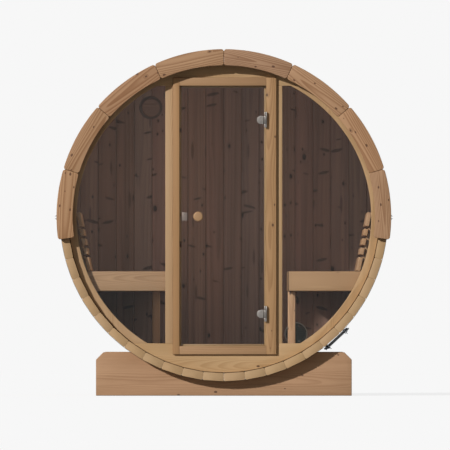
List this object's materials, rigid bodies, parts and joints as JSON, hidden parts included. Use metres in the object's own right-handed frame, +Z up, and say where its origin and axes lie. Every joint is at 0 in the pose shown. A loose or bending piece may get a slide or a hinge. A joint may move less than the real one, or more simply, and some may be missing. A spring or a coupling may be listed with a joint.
{
  "type": "barrel sauna",
  "caption": "Barrel sauna cabin of curved wooden staves on cradles, with a glazed front wall, hinged glass door, side benches with backrests and a shingled roof covering.",
  "frame": {"origin": "on the ground, under the middle of the sauna", "axes": "+X right as seen from the front, +Y from the door towards the back wall, +Z up"},
  "size_m": [2.1004, 1.892, 2.1499],
  "materials": {
    "stave_wood": "planed softwood, bare, light yellowish",
    "wall_wood": "planed softwood boards, bare",
    "fascia_wood": "sawn and planed softwood, bare, pinkish",
    "frame_wood": "planed softwood, bare",
    "bench_wood": "planed hardwood, bare, smooth",
    "knob_wood": "turned wood, smooth",
    "vent_wood": "turned heat-treated wood",
    "dark_lining_wood": "heat-treated boards, planed, dark",
    "clear_glass": "clear toughened glass, polished",
    "satin_metal": "satin steel fittings",
    "hoop_steel": "galvanised or stainless steel strip, satin",
    "dark_steel": "blackened threaded rod and nuts",
    "dark_vent_metal": "painted louvre, dark grey",
    "roof_shingle": "mineral-faced bitumen shingles, rough"
  },
  "bodies": {
    "cabin": {"staves_upper_right": "stave_wood", "staves_lower_right": "stave_wood", "staves_lower_left": "stave_wood", "staves_upper_left": "stave_wood", "cradle_front": "frame_wood", "cradle_rear": "frame_wood", "roof_covering": "roof_shingle", "fascia_front_right": "fascia_wood", "fascia_front_left": "fascia_wood", "fascia_rear_right": "fascia_wood", "fascia_rear_left": "fascia_wood", "hoop_front": "hoop_steel", "hoop_rear": "hoop_steel", "hoop_tensioners": "dark_steel", "front_sill_panel": "wall_wood", "front_head_panel": "wall_wood", "front_rim_left": "wall_wood", "front_rim_right": "wall_wood", "front_post_left": "wall_wood", "front_post_right": "wall_wood", "window_glass_left": "clear_glass", "window_glass_right": "clear_glass", "door_frame_latch_stile": "frame_wood", "door_frame_hinge_stile": "frame_wood", "door_frame_head": "frame_wood", "door_frame_sill": "frame_wood", "hinge_leaves": "satin_metal", "back_wall": "wall_wood", "back_lining": "dark_lining_wood", "vent_valve": "vent_wood", "vent_grille": "dark_vent_metal", "floor_joists": "frame_wood", "floor_boards": "bench_wood", "bench_frame_left": "bench_wood", "bench_frame_right": "bench_wood", "bench_legs": "bench_wood", "bench_seat_left": "bench_wood", "bench_seat_right": "bench_wood", "backrest_brackets": "bench_wood", "backrest_left": "bench_wood", "backrest_right": "bench_wood"},
    "door": {"door_glass": "clear_glass", "door_knobs": "knob_wood", "door_catch_plate": "satin_metal", "hinge_clamps": "satin_metal"}
  },
  "joints": [
    {"name": "door_hinge", "type": "hinge", "parent": "cabin", "child": "door", "pos_m": [0.2565, -0.882, 1.1], "axis": [0, 0, 1], "range_deg": [0, 110]}
  ]
}
